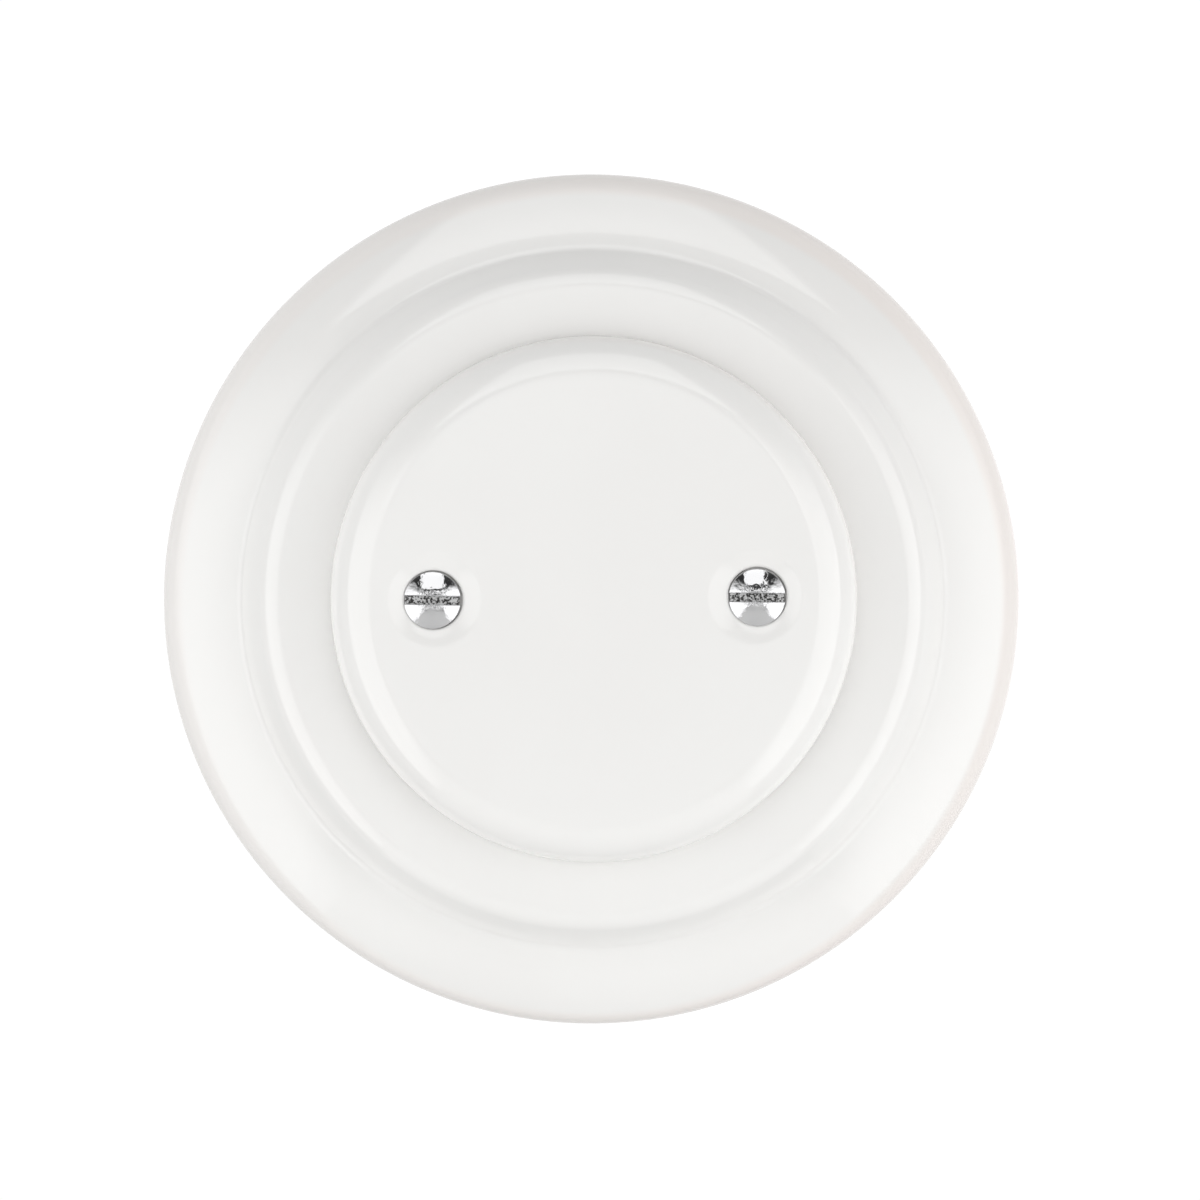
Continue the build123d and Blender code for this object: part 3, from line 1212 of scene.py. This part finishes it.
@dataclass
class SupportPlate(Piece):
    """The steel plate behind: an open ring, slotted for the box screws, with two tapped collars."""

    node: ClassVar[str] = "support_plate"
    slot: ClassVar[str] = "plate_steel"

    radius: float = 35.5
    opening_radius: float = 13.0
    thickness: float = 1.5
    edge: float = 0.2
    slot_offset: float = 30.0
    slot_length: float = 7.0
    slot_width: float = 3.6
    bore_radius: float = 1.8
    bore_edge: float = 0.12
    collar_radius: float = 2.9
    collar_length: float = 2.5
    collar_root: float = 0.6
    flat_margin: float = 0.3
    around: int = 192
    slot_points: int = 16
    bore_around: int = 48

    def slot_outline(self, centre: Point, upright: bool, outset: float) -> list[Point]:
        """Outline of one box screw slot.

        Args:
            centre: Centre of the slot, as (x, z).
            upright: Whether it runs along Z and not along X.
            outset: Distance out from its walls.

        Returns:
            The points of the outline, as (x, z).
        """
        reach = (self.slot_length - self.slot_width) / 2
        radius = self.slot_width / 2 + outset
        points = []
        for end in (0, 1):
            for step in range(self.slot_points + 1):
                angle = math.pi * (end + step / self.slot_points) - math.pi / 2
                along = reach * (1 - 2 * end) + radius * math.cos(angle)
                across = radius * math.sin(angle)
                points.append((-across, along) if upright else (along, across))
        return [(centre[0] + x, centre[1] + z) for x, z in points]

    def wall(self) -> list[Point]:
        """Draws the section of a stamped edge, from the front face to the back.

        Returns:
            The points of the section, as (distance out past the edge, height).
        """
        drawn = Section(-self.edge - self.flat_margin, self.thickness, 0)
        drawn.line(-self.edge, self.thickness).turn(self.edge, -90)
        drawn.line(0, self.edge / 2).turn(self.edge / 2, -90)
        return drawn.line(-self.edge / 2 - self.flat_margin, 0).points

    def collar(self) -> list[Point]:
        """Draws the section of a tapped collar, from the front face down its bore and up its outside.

        Returns:
            The points of the section, as (radius, height).
        """
        drawn = Section(self.bore_radius + self.edge + self.flat_margin, self.thickness, 180)
        drawn.line(self.bore_radius + self.edge, self.thickness).turn(self.edge, 90)
        drawn.line(self.bore_radius, self.bore_edge - self.collar_length).turn(self.bore_edge, 90)
        drawn.line(self.collar_radius - self.bore_edge, -self.collar_length).turn(self.bore_edge, 90)
        drawn.line(self.collar_radius, -self.collar_root).turn(self.collar_root, -90)
        return drawn.line(self.collar_radius + self.collar_root + self.flat_margin, 0).points

    def build(self) -> bpy.types.Object:
        """Builds the plate as one closed mesh.

        Returns:
            The plate's object.
        """
        shell = Shell()
        wall = self.wall()
        walls = [
            [shell.loop(circle(self.radius + d, self.around), h) for d, h in wall],
            [shell.loop(circle(self.opening_radius - d, self.around), h) for d, h in wall],
        ]
        for sign in (1, -1):
            for upright in (False, True):
                centre = (0.0, sign * self.slot_offset) if upright else (sign * self.slot_offset, 0.0)
                walls.append([shell.loop(self.slot_outline(centre, upright, -d), h) for d, h in wall])
        for loops in walls:
            shell.loft(loops)
        for side in Side:
            walls.append(shell.turned(self.collar(), self.bore_around, (side.value * SCREW_OFFSET, 0.0)))
        shell.fill(*(loops[0] for loops in walls))
        shell.fill(*(loops[-1] for loops in walls))
        return shell.finish("steel_plate")

    def dress(self, piece: bpy.types.Object) -> None:
        """Dresses the plate in plated steel."""
        self.settle(piece, PlatedSteel("plate_steel_plated"))


@dataclass(frozen=True)
class Softbox:
    """A soft rectangular lamp, which may fade over a share of its width and height at the edges."""

    # Watts of a lamp for each square metre and unit of radiance
    POWER: ClassVar[float] = 4.0

    name: str
    centre: Place
    facing: Place
    width: float
    height: float
    radiance: float
    roll: float = 0.0
    mirrored: bool = True
    feather: Band = (0.0, 0.0)

    def light(self) -> bpy.types.Object:
        """Hangs the lamp.

        Returns:
            The lamp's object.
        """
        data = bpy.data.lights.new(self.name, "AREA")
        data.shape = "RECTANGLE"
        data.size = self.width
        data.size_y = self.height
        data.energy = self.POWER * self.width * self.height * self.radiance
        lamp = put(self.name, data)
        roll = Quaternion((0, 0, 1), math.radians(self.roll))
        lamp.location = self.centre
        lamp.rotation_euler = (Vector(self.facing).to_track_quat("-Z", "Y") @ roll).to_euler()
        lamp.visible_camera = False
        lamp.visible_glossy = self.mirrored
        self.fade(data)
        return lamp

    def fade(self, data: bpy.types.Light) -> None:
        """Fades the lamp towards its edges.

        Args:
            data: The lamp's data.
        """
        canvas = Canvas.of(data)
        place = canvas.add("SeparateXYZ")
        canvas.link(canvas.add("NewGeometry").outputs["Parametric"], place.inputs[0])
        strength: Socket | float = 1.0
        for axis, share in zip("XY", self.feather):
            if share:
                along = place.outputs[axis]
                inward = canvas.math("MINIMUM", along, canvas.math("SUBTRACT", 1.0, along))
                strength = canvas.math("MULTIPLY", canvas.ramp(inward, (0.0, share)), strength)
        glow = canvas.add("Emission")
        canvas.feed(strength, glow.inputs["Strength"])
        canvas.link(glow.outputs[0], canvas.add("OutputLight").inputs["Surface"])


@dataclass
class Studio:
    """Soft lamps, a pale floor, a white backdrop and the camera."""

    top_centre: Place = (0.0, -0.636, 0.772)
    top_facing: Place = (0.0, 0.88, -0.48)
    top_width: float = 0.76
    top_height: float = 0.887
    top_radiance: float = 0.99
    top_feather: Band = (0.1, 0.0)
    panel_place: Point = (-1.01, -0.071)
    panel_width: float = 1.694
    fill_place: Point = (-0.05, -0.197)
    fill_width: float = 0.242
    side_offset: float = 0.44
    side_height: float = 1.157
    side_roll: float = 7.4
    side_feather: Band = (0.0, 0.3)
    left_radiance: float = 1.19
    right_radiance: float = 1.225
    floor_depth: float = 0.53
    floor_half_width: float = 0.46
    floor_front: float = 2.2
    floor_back: float = 0.45
    floor_colour: Colour = (0.55, 0.55, 0.545)
    floor_roughness: float = 0.9
    floor_fade: Band = (0.35, 0.95)
    front_level: float = 0.035
    sky_level: float = 0.66
    sky_facing: Place = (0.0, 0.707, 0.707)
    back_level: float = 0.27
    back_band: Band = (-0.3, 1.0)
    bounce_level: float = 0.36
    bounce_facing: Place = (0.42, 0.63, -0.65)
    bounce_band: Band = (0.2, 0.9)
    lens_level: float = 0.7
    lens_band: Band = (-0.985, -0.955)
    white_band: Band = (0.85, 0.95)
    camera_distance: float = 1200.0
    camera_yaw: float = 1.3
    camera_roll: float = -0.5
    camera_target: Place = (1.04, 0.0, -0.13)
    lens: float = 307.0
    sensor: float = 36.0

    def softboxes(self) -> list[Softbox]:
        """Lists the lamps: one above, and on each side a panel in front and a fill beside the part.

        The fills aren't mirrored, because from the side they would show as white bars on the flange.

        Returns:
            The lamps.
        """
        lamps = [
            Softbox(
                "top_softbox",
                centre=self.top_centre,
                facing=self.top_facing,
                width=self.top_width,
                height=self.top_height,
                radiance=self.top_radiance,
                feather=self.top_feather,
            )
        ]
        radiances = {Side.LEFT: self.left_radiance, Side.RIGHT: self.right_radiance}
        for kind, place, width, mirrored in (
            ("panel", self.panel_place, self.panel_width, True),
            ("fill", self.fill_place, self.fill_width, False),
        ):
            for side in Side:
                lamps.append(
                    Softbox(
                        f"{side.name.lower()}_{kind}",
                        centre=(side.value * self.side_offset, *place),
                        facing=(-float(side.value), 0.0, 0.0),
                        width=width,
                        height=self.side_height,
                        radiance=radiances[side],
                        roll=-side.value * self.side_roll,
                        mirrored=mirrored,
                        feather=self.side_feather,
                    )
                )
        return lamps

    @staticmethod
    def seen(canvas: Canvas, path: bpy.types.Node) -> Socket:
        """Adds a mask of the rays that come from the camera or through glass."""
        return canvas.math("MAXIMUM", path.outputs["Is Camera Ray"], path.outputs["Is Transmission Ray"])

    def floor(self) -> bpy.types.Object:
        """Lays the floor below the part.

        Returns:
            The floor's object.
        """
        side, front, back = self.floor_half_width, -self.floor_front, self.floor_back
        corners = [(-side, front, 0.0), (side, front, 0.0), (side, back, 0.0), (-side, back, 0.0)]
        mesh = bpy.data.meshes.new("studio_floor")
        mesh.from_pydata(corners, [], [(0, 1, 2, 3)])
        piece = put("studio_floor", mesh)
        piece.location = (0.0, 0.0, -self.floor_depth)
        piece.data.materials.append(self.floor_material())
        return piece

    def floor_material(self) -> bpy.types.Material:
        """Makes the pale matt floor, which runs out into the white backdrop.

        Returns:
            The floor's material.
        """
        material = bpy.data.materials.new("studio_floor_matt")
        canvas = Canvas.of(material)
        shader = canvas.add("BsdfPrincipled", Roughness=self.floor_roughness)
        canvas.feed(self.floor_colour, shader.inputs["Base Color"])
        white = canvas.add("Emission", Color=(1.0, 1.0, 1.0, 1.0), Strength=1.0)
        away = canvas.add("VectorMath", {"operation": "LENGTH"})
        canvas.link(canvas.place(), away.inputs[0])
        seen = self.seen(canvas, canvas.add("LightPath"))
        near, far = (share * self.floor_half_width for share in self.floor_fade)
        fading = canvas.ramp(away.outputs["Value"], (near, far))
        blend = canvas.add("MixShader")
        canvas.link(canvas.math("MULTIPLY", seen, fading), blend.inputs[0])
        canvas.link(shader.outputs[0], blend.inputs[1])
        canvas.link(white.outputs[0], blend.inputs[2])
        canvas.link(blend.outputs[0], canvas.add("OutputMaterial").inputs["Surface"])
        return material

    def backdrop(self) -> None:
        """Sets a backdrop that is white to the camera.

        As a light it is dim in front, bright above and pale behind, with a soft bounce from low on the
        right and a pale spot round the lens. A glossy surface sees it white straight behind the part.
        """
        world = bpy.data.worlds.new("studio_backdrop")
        bpy.context.scene.world = world
        canvas = Canvas.of(world)
        looking = canvas.add("TexCoord").outputs["Generated"]
        direction = canvas.add("SeparateXYZ")
        canvas.link(looking, direction.inputs[0])
        away = direction.outputs["Y"]
        towards = []
        for facing in (self.sky_facing, self.bounce_facing):
            share = canvas.add("VectorMath", {"operation": "DOT_PRODUCT"})
            canvas.link(looking, share.inputs[0])
            share.inputs[1].default_value = facing
            towards.append(share.outputs["Value"])
        level = canvas.ramp(towards[0], (0.0, 1.0), (self.front_level, self.sky_level))
        for glow in (
            canvas.ramp(away, self.back_band, (0.0, self.back_level)),
            canvas.ramp(towards[1], self.bounce_band, (0.0, self.bounce_level)),
        ):
            level = canvas.math("ADD", level, glow)
        level = canvas.math("MAXIMUM", level, canvas.ramp(away, self.lens_band, (self.lens_level, 0.0)))
        path = canvas.add("LightPath")
        straight = canvas.ramp(away, self.white_band)
        behind = canvas.math("MULTIPLY", path.outputs["Is Glossy Ray"], straight)
        white = canvas.math("MAXIMUM", self.seen(canvas, path), behind)
        strength = canvas.math("MAXIMUM", level, white)
        background = canvas.add("Background", Color=(1.0, 1.0, 1.0, 1.0))
        canvas.link(strength, background.inputs["Strength"])
        canvas.link(background.outputs[0], canvas.add("OutputWorld").inputs["Surface"])

    def camera(self) -> bpy.types.Object:
        """Sets up the camera in front of the part.

        Returns:
            The camera's object.
        """
        data = bpy.data.cameras.new("front_camera")
        data.sensor_width = self.sensor
        data.lens = self.lens
        camera = put("front_camera", data)
        yaw = math.radians(self.camera_yaw)
        back = Vector((-math.sin(yaw), -math.cos(yaw), 0.0))
        camera.location = (Vector(self.camera_target) + back * self.camera_distance) * MM
        roll = Quaternion((0, 0, 1), math.radians(self.camera_roll))
        camera.rotation_euler = ((-back).to_track_quat("-Z", "Y") @ roll).to_euler()
        bpy.context.scene.camera = camera
        return camera

    def build(self) -> None:
        """Sets up lamps, floor, backdrop and camera."""
        for softbox in self.softboxes():
            softbox.light()
        self.floor()
        self.backdrop()
        self.camera()
        bpy.context.scene.view_settings.view_transform = "Standard"


def main() -> None:
    """Builds and dresses the pieces in order, then the studio round them."""
    logging.basicConfig(level=logging.INFO, format="%(message)s")
    for part in (PorcelainSurround(), CoverDisc(), CoverScrews(), SupportPlate()):
        piece = part.build()
        part.dress(piece)
        LOG.info("%s stands for %s", piece.name, part.node)
    Studio().build()
    LOG.info("studio ready")


if __name__ == "__main__":
    main()
